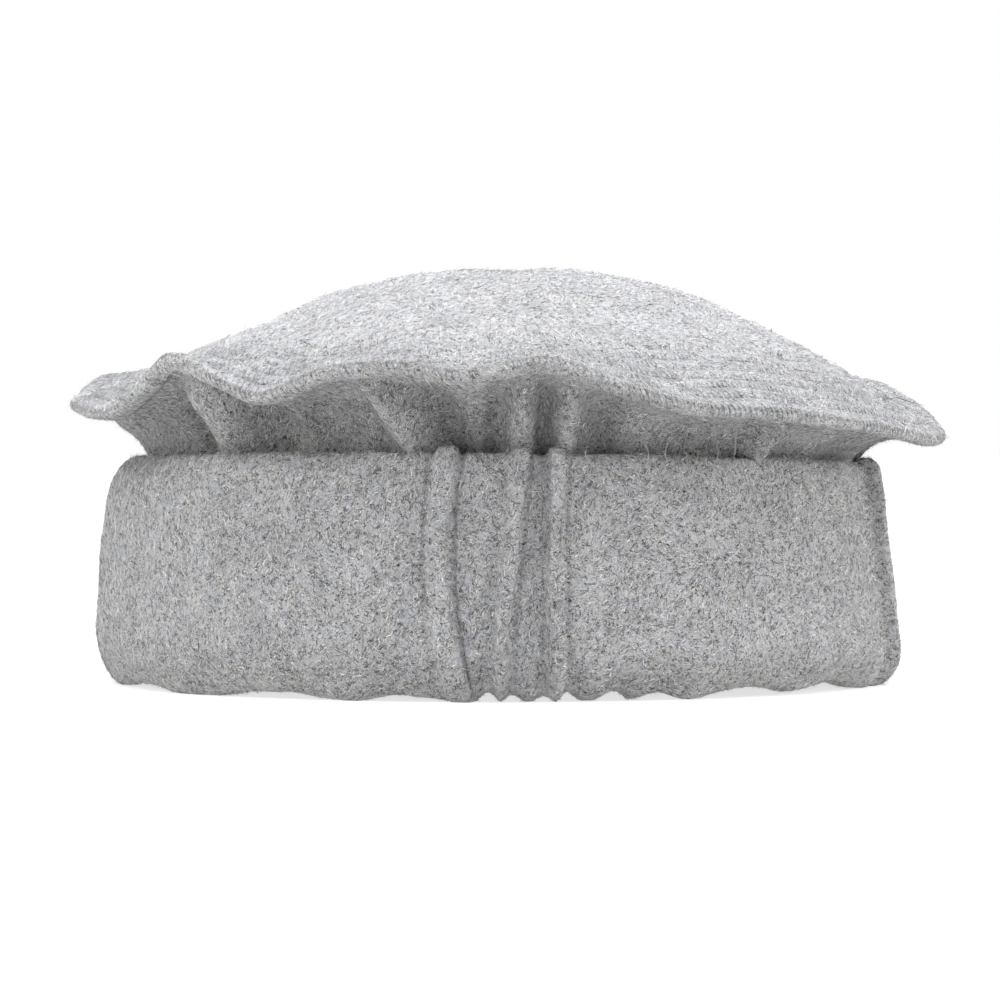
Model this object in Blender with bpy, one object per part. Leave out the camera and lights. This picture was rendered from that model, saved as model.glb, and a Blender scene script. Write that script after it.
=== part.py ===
"""A pakol, the round woollen cap, modelled at its real size in metres, +Z up.

A round top of felt is sewn along its rim to a tube of felt. The tube turns in under the rim, is gathered to
a neck that fits the head, runs down inside as the inner wall, and is then rolled up outside into a thick
band. The three front tucks face -Y. Bearings are degrees round the cap: 0 is the front, 90 the wearer's
left, which is +X. The origin is on the floor, midway across the rim.
"""

from collections import namedtuple

import bpy
import numpy as np

MM = 0.001  # the tables below are in millimetres and degrees

# Driving dimensions
FELT = 2.2 * MM  # thickness of the cloth
HEAD_ROUND = 576 * MM  # round the head, inside the neck
CROWN_HEIGHT = 111.0 * MM  # floor to the middle of the round top
BAND_HEIGHT = 59.5 * MM  # floor to the top of the rolled band
BAND_FOOT_RADIUS = 108.0 * MM  # of the band's outer face, near the floor
BAND_SHIFT = -3.4 * MM  # the band sits this far off the crown, towards -X
BAND_LEAN, BAND_LEAN_SIDE = 0.1, 0.027  # the face draws in as it rises, more so towards +X
BAND_TOP_FRONT, BAND_TOP_LEFT = 2.3 * MM, 0.9 * MM  # how much higher the band's top is there
WALL_FOLLOWS, WALL_FOLLOWS_OVER = 0.85, 20 * MM  # share of the shift taken on below the neck
FOOT_CORNER, FOOT_CORNER_SIDE = 11.5 * MM, -3.5 * MM  # height of the band's rounded foot, less towards +X
FOLD_DEPTH, FOLD_DEPTH_SIDE = 6.2 * MM, -1.0 * MM  # of the fold along the band's top, less towards +X
FOLD_SAG, FOLD_SAG_LOST = 4.8 * MM, 7.5 * MM  # how much lower its inside ends, and how much less at -X
INNER_FOLD_SPARE = 0.6 * MM  # by which the second fold in the foot is shallower than it could be
MID_HEIGHT = 0.6  # share of the band's height where its walls bend, and where the hem ends inside
CLOTH_GAP = 0.45 * MM  # between neighbouring turns of the roll
SEAM_GAP = 0.3 * MM  # between the round top and the tube, where they are sewn
SEWN_DEPTH = 1.5 * FELT + SEAM_GAP  # from the round top's upper face to the middle of the tube's cloth
CLEAR_DEPTH = 1.7 * FELT + SEAM_GAP  # the least such depth further in

LEVEL_REACH = 11 * MM  # how far in from the rim the tube's curve sets out level
UPRIGHT_REACH, UPRIGHT_SHARE = 7.5 * MM, 0.4  # how far up from the neck it stays upright, and of its drop
LIFT_OUT, LIFT_DOWN = 0.85, 0.4  # the way in which a gather stands out of the tube
GATHER_FULL, GATHER_NECK = 0.45, 0.8  # the way in at which gathers are full, and their share at the neck

NECK_RADIUS = HEAD_ROUND / (2 * np.pi)
SPACING = FELT + CLOTH_GAP

# The rim of the round top: how far it reaches from the middle, and how high it waves
Rim = namedtuple("Rim", "bearing reach height")
RIM = (
    Rim(-108, 118.0, 82.6),
    Rim(-93, 118.4, 76.0),
    Rim(-80, 118.4, 74.0),
    Rim(-63, 118.0, 71.6),
    Rim(-54, 118.0, 78.2),
    Rim(-47, 118.0, 86.0),
    Rim(-39.5, 117.6, 80.4),
    Rim(-32.5, 117.4, 75.6),
    Rim(-22, 118.0, 82.4),
    Rim(-14, 118.2, 83.4),
    Rim(-6, 118.0, 81.2),
    Rim(4, 118.5, 84.6),
    Rim(14, 118.0, 78.0),
    Rim(25, 118.0, 72.4),
    Rim(34, 118.2, 71.6),
    Rim(45, 118.0, 69.6),
    Rim(61, 118.0, 66.4),
    Rim(74, 118.2, 64.6),
    Rim(90, 118.6, 66.8),
    Rim(107, 118.2, 74.4),
    Rim(121, 118.0, 79.0),
    Rim(141, 118.2, 69.8),
    Rim(160, 117.8, 75.0),
    Rim(178, 118.4, 70.6),
    Rim(197, 118.0, 77.4),
    Rim(215, 118.2, 71.6),
    Rim(236, 118.0, 76.4),
)
RIM_LEVEL, RIM_LEVEL_FRONT, RIM_LEVEL_LEFT = 77 * MM, 2 * MM, 4 * MM  # the rim's height without its waves
WAVE_FADE = 5  # the waves die away towards the middle with this power of the distance
FALL_POWER = 2.8  # how level the dome is over the middle
FALL_SPREAD, FALL_SPREAD_LEFT = 0.6, 0.2  # how little the brim flattens out below the dome
RIM_TURN = ((0.45, 0.0), (0.0, 0.25), (0.0, 0.7), (0.4, 1.0))  # the rounded rim, in thicknesses

# Gathers under the rim: ridges from the neck out towards the rim, which they meet further round by lean
Gather = namedtuple("Gather", "bearing half_width lift lean")
GATHERS = (
    Gather(-78, 10, 1.4, 4),
    Gather(-58, 4.5, -2.4, 3),
    Gather(-50, 6.2, 4.2, 2),
    Gather(-40.5, 6.5, -3.2, 2),
    Gather(-30, 7, -1.0, 0),
    Gather(-16, 5, 3.9, -4),
    Gather(-9, 4.5, -3.0, -2),
    Gather(-1.8, 2.6, -2.2, 0),
    Gather(2, 2.7, 4.0, 0),
    Gather(5.0, 2.0, -1.8, 0),
    Gather(7.6, 2.6, 2.4, 1),
    Gather(13, 4, -2.0, 0),
    Gather(27, 9, -1.0, 3),
    Gather(42.8, 2.6, 3.2, 0),
    Gather(60, 8, -1.0, 4),
    Gather(80, 7, -0.4, -6),
    Gather(99, 7, 1.4, -3),
    Gather(118, 8, -1.6, 2),
    Gather(138, 6, 2.6, 3),
    Gather(157, 7, -2.0, -2),
    Gather(176, 6, 2.8, 2),
    Gather(197, 7, -2.0, 0),
    Gather(216, 6, 2.8, -3),
    Gather(240, 9, -1.6, 2),
)

# Tucks in the band's face: the bearings of each one's right edge at the top, middle and foot, its width, how
# proud it is, and over what width its left and right sides rise
Tuck = namedtuple("Tuck", "top middle foot width proud left right")
TUCKS = (
    Tuck(-6.9, -8.0, -4.8, 5.2, 2.4, 2.8, 0.9),
    Tuck(2.9, 1.2, -0.4, 4.8, 2.3, 2.8, 0.9),
    Tuck(7.4, 7.3, 7.6, 4.4, 2.1, 0.9, 2.4),
)
SLIDE_OVER = 9  # degrees to each side of the tucks over which the points still follow them
TUCK_FOOT, TUCK_TOP = (0.3, 0.75), 0.7  # share of a tuck on the foot and over the top
SEAM = 73.5  # bearing where the two ends of the tube's cloth are lapped and sewn
SEAM_PROUD, SEAM_STEP, SEAM_WIDTH = 2.2 * MM, 2.0 * MM, 34 * MM  # of the upper end, lapped over the lower

# Where the band's foot is lifted off the floor
Scallop = namedtuple("Scallop", "bearing half_width lift")
SCALLOPS = (
    Scallop(-66, 16, 1.9),
    Scallop(-36, 13, 1.9),
    Scallop(-15, 9, 1.6),
    Scallop(-2.9, 2.1, 2.2),
    Scallop(1.4, 2.3, 1.2),
    Scallop(4.8, 2.0, 1.1),
    Scallop(9.2, 2.6, 2.3),
    Scallop(18.5, 8, 2.3),
    Scallop(38, 13, 2.8),
    Scallop(56, 15, 2.7),
    Scallop(106, 14, 1.6),
    Scallop(150, 18, 1.8),
    Scallop(207, 16, 1.6),
    Scallop(243, 14, 1.4),
)

# Where the points are: columns round the cap, closer at the tucks, and rings and rows along its sections
TUCKED_FROM, TUCKED_TO, TUCKED_STEP, PLAIN_STEP = -11.0, 9.9, 1.15, 4.9
LEAST_STEP = 0.62 * TUCKED_STEP  # from a column to the middle of a steep side
TOP_RINGS = (0.15, 0.34, 0.52, 0.67, 0.8, 0.9, 0.955)  # shares of the round top's reach
LINING_RINGS = (0.17, 0.4, 0.6, 0.77, 0.9, 0.955)
EDGE_INSETS = (1.2 * MM, 2.8 * MM)  # of the tube's first two rows, from the rim
EDGE_THIN = 0.55  # thickness of the first one, as a share of the cloth's
WAYS_IN = (0.3, 0.56, 0.8, 1.0)  # shares of the way from there to the neck
FOOT_TURNS = np.array([0, 40, 68, 112, 140, 180])
TOP_TURNS = np.array([0, 55, 115, 180])
TURN_TURNS = np.array([0, 60, 120, 180])
NECK_ROW = len(EDGE_INSETS) + len(WAYS_IN) - 1
FOOT_ROW = NECK_ROW + 2
FACE_ROW = FOOT_ROW + len(FOOT_TURNS) - 1
FACE_END_ROW = FACE_ROW + 2


def around(bearing, rows, column):
    """A smooth closed curve through a table's column. The slope at a row is the harmonic mean of the slopes
    on its two sides, and level at a crest or a dip."""
    knots = np.array([row.bearing for row in rows], float)
    values = np.array([getattr(row, column) for row in rows], float)
    knots = np.concatenate([knots[-2:] - 360, knots, knots[:2] + 360])
    values = np.concatenate([values[-2:], values, values[:2]])
    slope = np.diff(values) / np.diff(knots)
    same_way = slope[1:] * slope[:-1] > 0
    total = np.where(same_way, slope[1:] + slope[:-1], 1)
    tangent = np.where(same_way, 2 * slope[1:] * slope[:-1] / total, 0)
    tangent = np.concatenate([[0], tangent, [0]])
    at = (bearing - knots[1]) % 360 + knots[1]
    i = np.clip(np.searchsorted(knots, at, "right") - 1, 0, len(knots) - 2)
    span = knots[i + 1] - knots[i]
    u = (at - knots[i]) / span
    start = values[i] * (1 + 2 * u) * (1 - u) ** 2 + tangent[i] * span * u * (1 - u) ** 2
    end = values[i + 1] * (3 - 2 * u) * u**2 - tangent[i + 1] * span * (1 - u) * u**2
    return start + end


def smooth(x):
    """0 up to 0, 1 from 1, and smooth between."""
    x = np.clip(x, 0, 1)
    return x * x * (3 - 2 * x)


def swell(x):
    """A round bump: 1 at 0, and 0 beyond 1 on both sides."""
    return np.cos(np.pi / 2 * np.clip(x, -1, 1)) ** 2


def turn(bearing, middle):
    """Degrees from middle to bearing, the short way round."""
    return (bearing - middle + 180) % 360 - 180


def reach_of(bearing):
    return around(bearing, RIM, "reach") * MM


def crown_section(share, bearing):
    """Reach and height of the round top's upper face, at a share of the way to its rim. It is nearly level
    over the middle, falls most steeply halfway out, flattens into the brim, and carries the rim's waves."""
    a = np.radians(bearing)
    level = RIM_LEVEL + RIM_LEVEL_FRONT * np.cos(a) - RIM_LEVEL_LEFT * np.sin(a)
    spread = FALL_SPREAD + FALL_SPREAD_LEFT * np.sin(a)
    wave = around(bearing, RIM, "height") * MM + FELT / 2 - level
    fall = 1 - share**FALL_POWER * (1 + spread) / (share**FALL_POWER + spread)
    return share * reach_of(bearing), level + (CROWN_HEIGHT - level) * fall + wave * share**WAVE_FADE


def crown_slope(share, bearing):
    """Unit step outwards along the round top's section."""
    step = 0.002
    r, z = crown_section(share, bearing)
    r_in, z_in = crown_section(share - step, bearing)
    length = np.hypot(r - r_in, z - z_in)
    return (r - r_in) / length, (z - z_in) / length


def below_crown(share, bearing, depth):
    """Reach and height of a face this deep below the round top's upper face, square to it."""
    r, z = crown_section(share, bearing)
    out, up = crown_slope(share, bearing)
    return r + up * depth, z - out * depth


def ceiling(radius, bearing, depth):
    """The height at this depth below the round top, over a point at this radius."""
    share = radius / reach_of(bearing)
    return crown_section(share, bearing)[1] - depth / crown_slope(share, bearing)[0]


def gather_lift(bearing, way):
    """How far the tube stands out from its plain shape. way is 0 at the rim and 1 at the neck."""
    lift = 0
    for g in GATHERS:
        lift = lift + g.lift * swell(turn(bearing, g.bearing + g.lean * (1 - way)) / g.half_width)
    fading = 1 - (1 - GATHER_NECK) * smooth((way - GATHER_FULL) / (1 - GATHER_FULL))
    return lift * smooth(way / GATHER_FULL) * fading * MM


def tuck_line(tuck, height):
    """The bearing of a tuck's right edge: a parabola through its top, middle and foot."""
    v = np.clip(height / BAND_HEIGHT, 0, 1)
    return tuck.foot * (1 - v) * (1 - 2 * v) + tuck.middle * 4 * v * (1 - v) + tuck.top * v * (2 * v - 1)


def lean_with_tucks(bearing, height):
    """Slides a column of points sideways, so that it follows the tucks beside it."""
    knots = [TUCKS[0].middle - SLIDE_OVER] + [t.middle for t in TUCKS] + [TUCKS[-1].middle + SLIDE_OVER]
    slides = [tuck_line(t, height) - t.middle for t in TUCKS]
    near = turn(bearing, 0)
    return bearing + sum(
        slide * np.clip(1 - np.abs(near - k) / np.where(near < k, k - low, high - k), 0, 1)
        for low, k, high, slide in zip(knots, knots[1:], knots[2:], slides)
    )


def tuck_height(bearing):
    """How proud the band's face is, at a column of points that follows the tucks: each tuck is a flat with two
    sides, and the lapped seam steps up sharply and dies away."""
    proud = 0
    for tuck in TUCKS:
        x = np.radians(turn(bearing, tuck.middle)) * BAND_FOOT_RADIUS
        rise = smooth((x / MM + tuck.width) / tuck.left)
        proud = proud + tuck.proud * MM * rise * (1 - smooth(x / MM / tuck.right))
    x = np.radians(turn(bearing, SEAM)) * BAND_FOOT_RADIUS
    return proud + SEAM_PROUD * smooth(x / SEAM_STEP) * (1 - smooth(x / SEAM_WIDTH))


def foot_lift(bearing):
    """How far the band's foot is off the floor."""
    lift = 0
    for s in SCALLOPS:
        lift = np.maximum(lift, s.lift * swell(turn(bearing, s.bearing) / s.half_width))
    return lift * MM


def band_top(bearing):
    a = np.radians(bearing)
    return BAND_HEIGHT + BAND_TOP_FRONT * np.cos(a) - BAND_TOP_LEFT * np.sin(a)


def fold_of(bearing):
    """The fold along the band's top: its depth, how much lower its inside ends, and its outer end's height."""
    side = np.sin(np.radians(bearing))
    depth = FOLD_DEPTH + FOLD_DEPTH_SIDE * side
    sag = FOLD_SAG - FOLD_SAG_LOST * np.maximum(-side, 0) ** 2
    return depth, sag, band_top(bearing) - FELT / 2 + sag / 2 - np.hypot(depth, sag / 2)


def face_radius(bearing, height):
    """The band's outer face, which leans in as it rises and is a little off centre."""
    side = np.sin(np.radians(bearing))
    lean = BAND_LEAN + BAND_LEAN_SIDE * side
    return BAND_FOOT_RADIUS + BAND_SHIFT * side - lean * np.maximum(height - FOOT_CORNER, 0)


def wall_radius(bearing, height):
    """The middle of the inner wall's cloth. Below the neck it follows the band off centre."""
    below = smooth((BAND_HEIGHT - height) / WALL_FOLLOWS_OVER)
    return NECK_RADIUS + FELT / 2 + WALL_FOLLOWS * BAND_SHIFT * np.sin(np.radians(bearing)) * below


def turned(start, end, level, depth, turns, sag=0):
    """Half an oval from radius start to radius end, which leaves start at level, reaches depth beyond it, and
    meets end lower by sag. turns are angles in degrees, from 0 at start to 180 at end."""
    a = np.radians(turns)[:, None]
    share = (1 - np.cos(a)) / 2
    return start + (end - start) * share, level + depth * np.sin(a) - sag * share


def under_rim(bearing):
    """The tube's rows from the rim to the neck: beside the round top at first, then along a cubic curve that
    leaves level and ends upright, with the gathers standing out of it and the round top above it."""
    reach = reach_of(bearing)
    rows = [below_crown(1 - inset / reach, bearing, SEWN_DEPTH) for inset in EDGE_INSETS]
    start = np.array(rows[-1])
    _, sag, top_level = fold_of(bearing)
    neck_z = top_level - sag
    neck = np.array([wall_radius(bearing, neck_z), neck_z])
    drop = start[1] - neck[1]
    level = np.array([start[0] - LEVEL_REACH, start[1]])
    upright = np.array([neck[0], neck[1] + UPRIGHT_REACH + UPRIGHT_SHARE * drop])
    for way in WAYS_IN:
        back = 1 - way
        plain = start * back**3 + 3 * level * back**2 * way + 3 * upright * back * way**2 + neck * way**3
        lift = gather_lift(bearing, way)
        radius = plain[0] + LIFT_OUT * lift
        height = plain[1] - LIFT_DOWN * lift
        rows.append((radius, np.minimum(height, ceiling(radius, bearing, CLEAR_DEPTH))))
    return rows


def tube_path(bearing):
    """The middle of the tube's cloth as rows of radius and height: in from the rim, down the inner wall,
    round the foot, up the face, over the top, down behind the face, and up again to the hem."""
    rows = under_rim(bearing)
    middle = MID_HEIGHT * BAND_HEIGHT + 0 * bearing
    rows.append((wall_radius(bearing, middle), middle))

    foot_depth = FOOT_CORNER + FOOT_CORNER_SIDE * np.sin(np.radians(bearing))
    foot_level = FELT / 2 + foot_depth + foot_lift(bearing)
    wall = wall_radius(bearing, foot_level)
    face = face_radius(bearing, foot_level) - FELT / 2
    rows += zip(*turned(wall, face, foot_level, -foot_depth, FOOT_TURNS))

    rows.append((face_radius(bearing, middle) - FELT / 2, middle))

    fold_depth, sag, top_level = fold_of(bearing)
    face = face_radius(bearing, top_level) - FELT / 2
    behind = wall_radius(bearing, top_level - sag) + SPACING + LIFT_OUT * gather_lift(bearing, 1.0)
    rows += zip(*turned(face, behind, top_level, fold_depth, TOP_TURNS, sag))

    rows.append((wall_radius(bearing, middle) + SPACING, middle))
    behind = wall_radius(bearing, foot_level) + SPACING
    before = face_radius(bearing, foot_level) - FELT / 2 - SPACING
    inner_depth = foot_depth - SPACING - INNER_FOLD_SPARE
    rows += zip(*turned(behind, before, foot_level, -inner_depth, TURN_TURNS))
    rows.append((face_radius(bearing, middle) - FELT / 2 - SPACING, middle))
    return np.array(rows)


def tube_faces(nominal):
    """Rows of radius and height for the two faces of the tube's cloth, set half its thickness off the path,
    with the tucks standing out of the band's face and the foot pressed flat on the floor. The first face
    shows under the rim, and the second one shows on the band."""
    heights = tube_path(nominal)[:, 1]
    bearing = lean_with_tucks(nominal, heights)
    path = np.stack([tube_path(b)[k] for k, b in enumerate(bearing)])
    along = np.gradient(path, axis=0)
    along /= np.linalg.norm(along, axis=1, keepdims=True)
    square = np.stack([-along[:, 1], along[:, 0]], axis=1)
    thick = np.ones(len(path))
    thick[0] = EDGE_THIN
    half = thick[:, None, None] * square * FELT / 2
    under, banded = path + half, path - half

    share = np.zeros(len(path))
    share[FACE_ROW : FACE_END_ROW + 1] = 1
    share[FACE_ROW - 2 : FACE_ROW] = TUCK_FOOT
    share[FACE_END_ROW + 1] = TUCK_TOP
    banded -= square * share[:, None, None] * tuck_height(nominal)

    pressed = slice(FOOT_ROW + 2, FOOT_ROW + 4)
    banded[pressed, 1] = foot_lift(bearing[pressed])
    banded[:, 1] = np.maximum(banded[:, 1], 0)
    return under, banded, bearing


def steep_side(tuck):
    """The bearings between which a tuck's steeper side rises, halfway up the band."""
    ends = (-tuck.width, tuck.left - tuck.width) if tuck.left < tuck.right else (0, tuck.right)
    return [tuck.middle + np.degrees(end * MM / BAND_FOOT_RADIUS) for end in ends]


def columns():
    """Bearings of the columns of points, close together at the tucks and even elsewhere, with one on each
    edge of every steep side."""
    sides = np.array([steep_side(tuck) for tuck in TUCKS])
    tucked = np.arange(TUCKED_FROM, TUCKED_TO, TUCKED_STEP)
    tucked = tucked[np.abs(tucked[:, None] - sides.mean(axis=1)).min(axis=1) > LEAST_STEP]
    left = 360 + TUCKED_FROM - TUCKED_TO
    count = round(left / PLAIN_STEP)
    plain = TUCKED_TO + np.arange(count) * left / count
    plain = plain[np.abs(turn(plain, SEAM)) > PLAIN_STEP / 2]
    step = np.degrees(SEAM_STEP / BAND_FOOT_RADIUS)
    return np.sort(np.concatenate([tucked, sides.ravel(), plain, [SEAM, SEAM + step]]))


def rings_of(radius, height, bearing):
    """Points in space, for arrays of radius, height and bearing."""
    a = np.radians(bearing)
    return np.stack([radius * np.sin(a), -radius * np.cos(a), height + 0 * a], axis=-1)


def solid(name, rings, poles=()):
    """One closed mesh, skinned over closed rings of points. Poles close its two ends, and without them the
    last ring is joined to the first."""
    count, across = len(rings), len(rings[0])
    points = [tuple(p) for ring in rings for p in ring] + [tuple(p) for p in poles]
    faces = []
    for i in range(count - 1 if poles else count):
        a, b = i * across, (i + 1) % count * across
        for j in range(across):
            k = (j + 1) % across
            faces.append((a + k, a + j, b + j, b + k))
    if poles:
        first, last = count * across, (count - 1) * across
        for j in range(across):
            k = (j + 1) % across
            faces.append((j, k, first))
            faces.append((last + k, last + j, first + 1))
    mesh = bpy.data.meshes.new(name)
    mesh.from_pydata(points, [], faces)
    mesh.shade_smooth()
    mesh.set_sharp_from_angle(angle=np.radians(60))
    piece = bpy.data.objects.new(name, mesh)
    bpy.context.collection.objects.link(piece)
    return piece


def felt(name, colour):
    material = bpy.data.materials.new(name)
    material.use_nodes = True
    shader = material.node_tree.nodes["Principled BSDF"]
    shader.inputs["Base Color"].default_value = (*colour, 1)
    shader.inputs["Roughness"].default_value = 0.95
    shader.inputs["Metallic"].default_value = 0.0
    return material


def round_top():
    """The round top: its upper face out to the rim, a rounded rim, and its lower face back to the middle."""
    bearing = columns()
    reach = reach_of(bearing)
    rings = [crown_section(share, bearing) for share in TOP_RINGS]
    for inset, depth in RIM_TURN:
        rings.append(below_crown(1 - inset * FELT / reach, bearing, depth * FELT))
    rings += [below_crown(share, bearing, FELT) for share in LINING_RINGS[::-1]]
    poles = [(0, 0, CROWN_HEIGHT), (0, 0, CROWN_HEIGHT - FELT)]
    piece = solid("round_top", [rings_of(*ring, bearing) for ring in rings], poles)
    piece.data.materials.append(felt("round_top_felt", (0.46, 0.46, 0.465)))


def rolled_side():
    """The tube: one face of its cloth, then the other one back, joined along the two cut edges."""
    under, banded, bearing = tube_faces(columns())
    rings = [rings_of(*row, b) for row, b in zip(under, bearing)]
    rings += [rings_of(*row, b) for row, b in zip(banded[::-1], bearing[::-1])]
    piece = solid("rolled_side", rings)
    piece.data.materials.append(felt("rolled_side_felt", (0.4, 0.4, 0.405)))


def main():
    for old in list(bpy.data.objects):
        bpy.data.objects.remove(old)
    round_top()
    rolled_side()


main()
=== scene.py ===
"""A pakol of heather-grey felted wool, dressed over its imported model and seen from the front.

The cloth is two pieces, as a pakol is sewn: a round top, and a tube that turns in under the rim, is gathered
to the neck, runs down inside and is rolled up outside into a band. Rows of stitching hold the rim, and a nap
of fine curled fibres covers the wool. Lengths in the tables are millimetres and bearings are degrees round
the cap: 0 is the front, -Y, and 90 is the wearer's left, +X.
"""

from collections import namedtuple

import bpy
import numpy as np
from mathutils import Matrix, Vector


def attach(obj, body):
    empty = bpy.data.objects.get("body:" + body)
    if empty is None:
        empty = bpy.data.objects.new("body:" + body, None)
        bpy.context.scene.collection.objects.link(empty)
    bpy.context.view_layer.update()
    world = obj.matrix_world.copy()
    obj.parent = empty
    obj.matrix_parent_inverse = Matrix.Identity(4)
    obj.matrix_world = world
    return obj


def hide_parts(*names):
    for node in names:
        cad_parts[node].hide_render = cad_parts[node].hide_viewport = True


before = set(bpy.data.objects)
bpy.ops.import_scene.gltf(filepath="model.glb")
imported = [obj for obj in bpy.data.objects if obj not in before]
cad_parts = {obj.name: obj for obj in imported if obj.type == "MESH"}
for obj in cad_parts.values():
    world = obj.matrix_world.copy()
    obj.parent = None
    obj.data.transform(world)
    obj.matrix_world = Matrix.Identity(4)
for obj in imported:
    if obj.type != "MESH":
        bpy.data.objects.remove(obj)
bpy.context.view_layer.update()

MM = 0.001

# Driving dimensions of the cap
FELT = 2.2 * MM
HEAD_ROUND = 576 * MM
CROWN_HEIGHT = 111.0 * MM
BAND_HEIGHT = 59.5 * MM
BAND_FOOT_RADIUS = 108.0 * MM
BAND_SHIFT = -3.4 * MM
BAND_LEAN, BAND_LEAN_SIDE = 0.1, 0.027
BAND_TOP_FRONT, BAND_TOP_LEFT = 2.3 * MM, 0.9 * MM
WALL_FOLLOWS, WALL_FOLLOWS_OVER = 0.85, 20 * MM
FOOT_CORNER, FOOT_CORNER_SIDE = 11.5 * MM, -3.5 * MM
# How much cloth is flattened on the floor, and the height above which it keeps its shape
FOOT_PRESSED, FOOT_PRESSED_BELOW = 0.7 * MM, 4.0 * MM
FOLD_DEPTH, FOLD_DEPTH_SIDE = 6.2 * MM, -1.0 * MM
FOLD_SAG, FOLD_SAG_LOST = 4.8 * MM, 14.0 * MM
INNER_FOLD_SPARE = 0.6 * MM
MID_HEIGHT = 0.6
CLOTH_GAP = 0.45 * MM
SEAM_GAP = 0.3 * MM
# The round top's rim is rolled over the tube's edge: how deep its nose is, and how far in the two sides reach
NOSE_DEPTH, NOSE_ABOVE, NOSE_BELOW = 1.4 * MM, 1.6 * MM, 4.4 * MM
TUBE_EDGE, EDGE_ROUND = 4.9 * MM, 0.9 * MM  # the tube's edge from the rim, and how it is rounded
LEVEL_REACH = 11 * MM
UPRIGHT_REACH, UPRIGHT_SHARE = 7.5 * MM, 0.4
LIFT_OUT, LIFT_DOWN = 0.85, 0.4
GATHER_FULL, GATHER_FULLEST, GATHER_NECK = 0.45, 1.7, 0.8
NECK_RADIUS = HEAD_ROUND / (2 * np.pi)
SPACING = FELT + CLOTH_GAP
# Depths below the round top's upper face: of the sewn tube's middle, of the gathered tube's middle at least,
# and of both cloths together
SEWN_DEPTH = 1.5 * FELT + SEAM_GAP
CLEAR_DEPTH = 1.7 * FELT + SEAM_GAP
SEWN_THICK = 2 * FELT + SEAM_GAP

# The rim of the round top: how far it reaches from the middle, and how high it waves
USUAL_REACH = 118  # of the rim, at most bearings
Rim = namedtuple("Rim", "bearing reach height")
RIM = [Rim(*row) for row in (
    (-108, 118.0, 82.6), (-93, 118.4, 76.0), (-80, 118.4, 74.0), (-63, 118.0, 71.6),
    (-54, 118.0, 78.2), (-47, 118.0, 86.0), (-39.5, 117.6, 80.4), (-32.5, 117.4, 75.6),
    (-22, 118.0, 82.4), (-14, 118.2, 83.4), (-6, 118.0, 81.2), (4, 118.5, 84.6),
    (14, 118.0, 78.0), (25, 118.0, 72.4), (34, 118.2, 71.6), (45, 118.0, 69.6),
    (61, 118.0, 66.4), (74, 118.2, 64.6), (90, 118.6, 66.8), (107, 118.2, 75.6),
    (121, 118.0, 82.0), (141, 118.2, 69.8), (160, 117.8, 75.0), (178, 118.4, 70.6),
    (197, 118.0, 77.4), (215, 118.2, 71.6), (236, 118.0, 76.4),
)]
# The level about which the rim waves, how fast the waves die away inwards, and how the dome falls to the rim
RIM_LEVEL, RIM_LEVEL_FRONT, RIM_LEVEL_LEFT = 77 * MM, 2 * MM, 4 * MM
WAVE_FADE = 5
FALL_POWER = 2.8
FALL_SPREAD, FALL_SPREAD_LEFT = 0.6, 0.2

# Gathers under the rim: ridges, and valleys where lift is negative, which meet the rim further round by lean
Gather = namedtuple("Gather", "bearing half_width lift lean")
GATHERS = [Gather(*row) for row in (
    (-80, 11, 3.0, 0), (-54.8, 3.4, -3.6, 2), (-45.6, 7.6, 5.8, -1.5), (-34.5, 5.4, -3.8, -6),
    (-26, 7.5, -3.2, -5), (-11.4, 5.0, 5.8, -8.5), (-6.6, 3.6, -2.4, -5), (-2.0, 2.4, -1.6, 0),
    (1.9, 3.0, 4.8, 0), (5.0, 1.8, -0.4, 0), (7.6, 3.2, 4.2, 1), (13.5, 4, -2.4, 0),
    (27, 9, -1.0, 3), (39.4, 2.7, 5.0, 0), (60, 8, -1.0, 4), (80, 7, -0.4, -6),
    (99, 7, 1.4, -3), (118, 8, -1.6, 2), (138, 6, 2.6, 3), (157, 7, -2.0, -2),
    (176, 6, 2.8, 2), (197, 7, -2.0, 0), (216, 6, 2.8, -3), (240, 9, -1.6, 2),
)]

# Tucks in the band's face, and the sunk strip between the last two: the bearings of each one's right edge at
# the top, middle and foot, its width, how proud it is, over what width its left and right sides rise, and how
# deep the creases beside them are
Tuck = namedtuple("Tuck", "top middle foot width proud left right left_crease right_crease")
TUCKS = (
    Tuck(-7.5, -8.2, -4.7, 5.2, 2.6, 1.4, 0.9, 0.3, 0.9),
    Tuck(2.8, 0.7, -1.1, 4.8, 2.6, 2.2, 0.7, 0.0, 0.4),
    Tuck(4.9, 4.6, 5.0, 5.0, -0.5, 2.4, 1.2, 0.0, 0.0),
    Tuck(7.6, 7.0, 7.4, 3.6, 2.3, 0.8, 0.9, 0.25, 0.4),
)
CREASE_WIDTH = 1.2
SLIDE_OVER = 9  # degrees beyond the outer tucks over which the cloth still slides with them
# Where along the foot the tucks rise, and along the fold they fade: from which share, and over how much
TUCKS_RISE, TUCKS_FADE = (0.45, 0.5), (0.15, 0.6)

# The lapped seam up the band: its bearing, how proud and how steep its edge is, how far the lap reaches, and
# the crease before it
SEAM = 73.5
SEAM_PROUD, SEAM_STEP, SEAM_WIDTH = 2.4 * MM, 2.0 * MM, 34 * MM
SEAM_CREASE, SEAM_CREASE_WIDTH = 1.8 * MM, 5.0 * MM

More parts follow.
